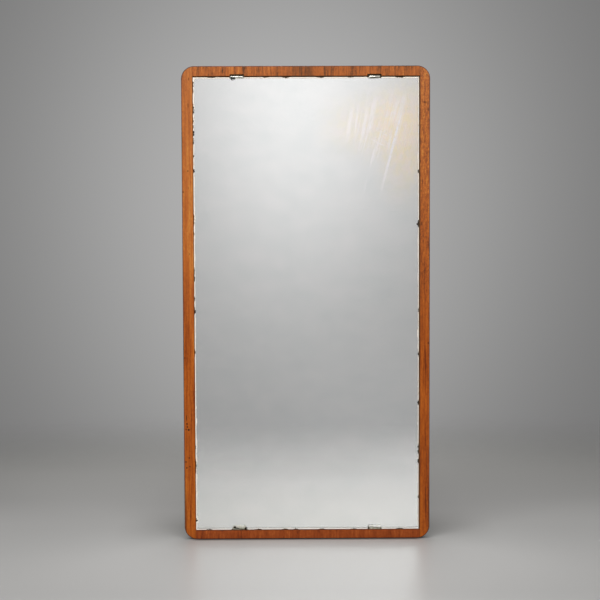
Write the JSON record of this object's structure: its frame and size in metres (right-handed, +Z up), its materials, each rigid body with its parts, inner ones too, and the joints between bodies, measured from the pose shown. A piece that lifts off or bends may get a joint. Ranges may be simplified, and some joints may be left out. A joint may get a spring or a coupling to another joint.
{
  "type": "wall mirror",
  "caption": "Tall wall mirror: glass let into a teak-faced board with round corners, held by fixed clips below and sliding clips above, with keyhole plates in its back.",
  "frame": {"origin": "middle of the board's back, on the plane that lies against the wall", "axes": "+Z up along the mirror's height, +Y out of the back towards the wall, the glass faces -Y"},
  "size_m": [0.5, 0.0183, 0.96],
  "materials": {
    "blockboard": "sawn, unfinished",
    "birch_ply": "sawn edge",
    "teak_face": "oiled teak veneer, satin",
    "teak_edge": "oiled teak band, satin, worn dark",
    "teak_back": "plain veneer, unfinished",
    "packing_card": "plain grey-brown card",
    "silvering": "silvered, painted on the back",
    "mirror_glass": "float glass, edges ground",
    "nickel": "nickel-plated steel strip, worn",
    "zinc_plate": "zinc-plated steel",
    "steel_screw": "plain steel"
  },
  "bodies": {
    "mirror": {"backing_board": "blockboard", "back_veneer": "teak_back", "left_stile": "birch_ply", "right_stile": "birch_ply", "top_rail": "birch_ply", "bottom_rail": "birch_ply", "left_stile_veneer": "teak_face", "right_stile_veneer": "teak_face", "top_rail_veneer": "teak_face", "bottom_rail_veneer": "teak_face", "left_edge_band": "teak_edge", "right_edge_band": "teak_edge", "top_edge_band": "teak_edge", "bottom_edge_band": "teak_edge", "packing_card": "packing_card", "silvering": "silvering", "mirror_glass": "mirror_glass", "lower_left_clip": "nickel", "lower_right_clip": "nickel", "upper_clip_screws": "steel_screw", "lower_clip_screws": "steel_screw", "keyhole_plates": "zinc_plate", "plate_screws": "steel_screw"},
    "upper_left_clip": {"upper_left_clip": "nickel"},
    "upper_right_clip": {"upper_right_clip": "nickel"}
  },
  "joints": [
    {"name": "upper_left_clip_slide", "type": "slide", "parent": "mirror", "child": "upper_left_clip", "axis": [0, 0, 1], "range_m": [0, 0.0031]},
    {"name": "upper_right_clip_slide", "type": "slide", "parent": "mirror", "child": "upper_right_clip", "axis": [0, 0, 1], "range_m": [0, 0.0031]}
  ]
}
